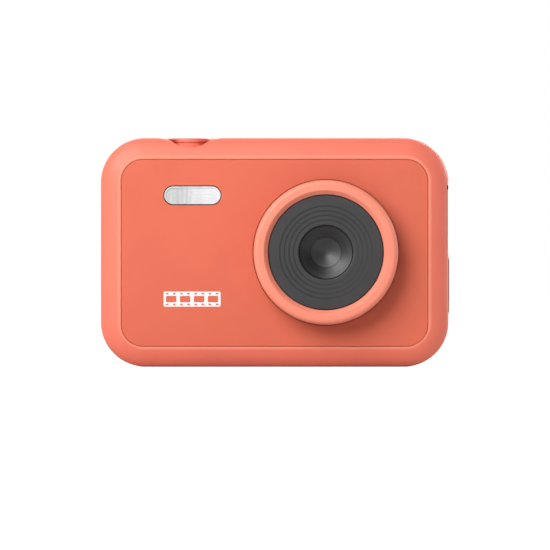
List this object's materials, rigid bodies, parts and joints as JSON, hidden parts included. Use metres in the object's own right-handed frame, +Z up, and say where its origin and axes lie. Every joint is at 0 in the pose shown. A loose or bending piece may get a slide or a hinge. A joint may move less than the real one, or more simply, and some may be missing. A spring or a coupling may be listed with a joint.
{
  "type": "action camera",
  "caption": "Compact pocket camera with a rounded rectangular body, a raised lens ring, a rear screen, push keys and side doors over its ports.",
  "frame": {"origin": "middle of the flat base, under the centre of the whole camera's bounding box", "axes": "+Z up, the lens looks along -Y, and +X is to the right of a viewer who faces the lens"},
  "size_m": [0.0831, 0.0264, 0.0546],
  "materials": {
    "shell": "fine matte moulded coral orange",
    "panel": "fine matte coral orange, slightly deeper",
    "black_plastic": "satin charcoal",
    "black_rubber": "soft matte",
    "keys": "satin coral orange",
    "lens_glass": "coated optical glass",
    "clear_plastic": "clear, ribbed inside",
    "mirror_cup": "vacuum metallised",
    "screen": "glossy black",
    "steel": "nickel plated",
    "brass": "nickel plated brass",
    "circuit": "solder mask",
    "chip": "moulded epoxy",
    "battery_wrap": "laminated pouch"
  },
  "bodies": {
    "case": {"front_housing": "shell", "rear_cover": "shell", "front_panel": "panel", "lens_ring": "shell", "lens_bezel": "black_plastic", "lens_barrel": "black_plastic", "front_lens": "lens_glass", "rear_lens": "lens_glass", "lens_holder": "black_plastic", "ir_filter": "lens_glass", "image_sensor": "chip", "sensor_board": "circuit", "sensor_connector": "chip", "flash_window": "clear_plastic", "flash_reflector": "mirror_cup", "flash_led": "clear_plastic", "flash_board": "circuit", "shutter_switch": "steel", "shutter_board": "circuit", "screen_window": "screen", "lcd_glass": "screen", "lcd_backlight": "steel", "key_domes": "steel", "keypad_board": "circuit", "status_light": "clear_plastic", "main_board": "circuit", "main_chip": "chip", "memory_chip": "chip", "battery": "battery_wrap", "speaker": "black_plastic", "microphone": "steel", "usb_socket": "steel", "card_socket": "steel", "card_door_pin": "steel", "usb_door_pin": "steel", "tripod_bush": "brass", "case_screw_1": "steel", "case_screw_2": "steel", "case_screw_3": "steel", "case_screw_4": "steel", "board_screw_1": "steel", "board_screw_2": "steel", "board_screw_3": "steel"},
    "shutter": {"shutter_button": "shell", "shutter_plunger": "black_plastic"},
    "power": {"power_key": "keys"},
    "mode": {"mode_key": "keys"},
    "playback": {"playback_key": "keys"},
    "menu": {"menu_key": "keys"},
    "up": {"up_key": "keys"},
    "down": {"down_key": "keys"},
    "left": {"left_key": "keys"},
    "right": {"right_key": "keys"},
    "ok": {"ok_key": "keys"},
    "card_cover": {"card_door": "black_rubber"},
    "usb_cover": {"usb_door": "black_rubber"}
  },
  "joints": [
    {"name": "shutter_press", "type": "slide", "parent": "case", "child": "shutter", "axis": [0, 0, -1], "range_m": [0, 0.0006], "stiffness_N_per_m": 250},
    {"name": "power_press", "type": "slide", "parent": "case", "child": "power", "axis": [0, -1, 0], "range_m": [0, 0.0004], "stiffness_N_per_m": 250},
    {"name": "mode_press", "type": "slide", "parent": "case", "child": "mode", "axis": [0, -1, 0], "range_m": [0, 0.0004], "stiffness_N_per_m": 250},
    {"name": "playback_press", "type": "slide", "parent": "case", "child": "playback", "axis": [0, -1, 0], "range_m": [0, 0.0004], "stiffness_N_per_m": 250},
    {"name": "menu_press", "type": "slide", "parent": "case", "child": "menu", "axis": [0, -1, 0], "range_m": [0, 0.0004], "stiffness_N_per_m": 250},
    {"name": "up_press", "type": "slide", "parent": "case", "child": "up", "axis": [0, -1, 0], "range_m": [0, 0.0004], "stiffness_N_per_m": 250},
    {"name": "down_press", "type": "slide", "parent": "case", "child": "down", "axis": [0, -1, 0], "range_m": [0, 0.0004], "stiffness_N_per_m": 250},
    {"name": "left_press", "type": "slide", "parent": "case", "child": "left", "axis": [0, -1, 0], "range_m": [0, 0.0004], "stiffness_N_per_m": 250},
    {"name": "right_press", "type": "slide", "parent": "case", "child": "right", "axis": [0, -1, 0], "range_m": [0, 0.0004], "stiffness_N_per_m": 250},
    {"name": "ok_press", "type": "slide", "parent": "case", "child": "ok", "axis": [0, -1, 0], "range_m": [0, 0.0004], "stiffness_N_per_m": 250},
    {"name": "card_door_hinge", "type": "hinge", "parent": "case", "child": "card_cover", "pos_m": [0.0405, 0.00285, 0.02845], "axis": [0, 1, 0], "range_deg": [0, 95]},
    {"name": "usb_door_hinge", "type": "hinge", "parent": "case", "child": "usb_cover", "pos_m": [0.04087, 0.00285, 0.01295], "axis": [0, 1, 0], "range_deg": [0, 95]}
  ]
}
